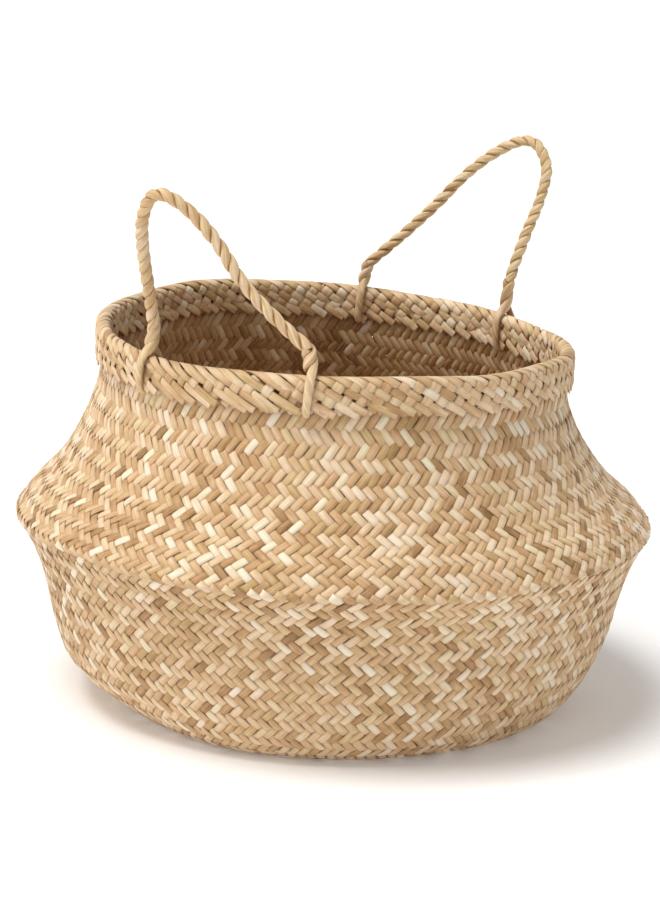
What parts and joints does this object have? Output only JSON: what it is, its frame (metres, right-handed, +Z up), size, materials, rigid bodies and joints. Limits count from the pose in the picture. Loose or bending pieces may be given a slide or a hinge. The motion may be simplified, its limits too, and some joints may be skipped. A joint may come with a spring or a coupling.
{
  "type": "storage basket",
  "caption": "Round belly basket of woven seagrass: a wide bowl, a sharp fold, a collar narrowing to a bordered mouth, and a rope handle at front and back.",
  "frame": {"origin": "middle of the flat base, on the surface the basket stands on", "axes": "+Z up through the mouth, -Y towards the front handle, +Y towards the back handle"},
  "size_m": [0.3251, 0.3252, 0.281],
  "materials": {
    "woven_strands": "dry natural fibre, matt with a faint sheen",
    "border_strands": "dry natural fibre, matt with a faint sheen",
    "twisted_rope": "twisted dry fibre, matt"
  },
  "bodies": {
    "basket": {"woven_body": "woven_strands", "rim_border_outside": "border_strands", "rim_border_inside": "border_strands", "rim_lip_wrap": "border_strands", "front_left_rope_loop": "twisted_rope", "front_right_rope_loop": "twisted_rope", "back_left_rope_loop": "twisted_rope", "back_right_rope_loop": "twisted_rope"},
    "front_handle": {"front_handle_rope": "twisted_rope"},
    "back_handle": {"back_handle_rope": "twisted_rope"}
  },
  "joints": [
    {"name": "front_handle_swing", "type": "hinge", "parent": "basket", "child": "front_handle", "pos_m": [0, -0.11169, 0.2043], "axis": [1, 0, 0], "range_deg": [-135, 95]},
    {"name": "back_handle_swing", "type": "hinge", "parent": "basket", "child": "back_handle", "pos_m": [0, 0.11169, 0.2043], "axis": [-1, 0, 0], "range_deg": [-135, 95]}
  ]
}
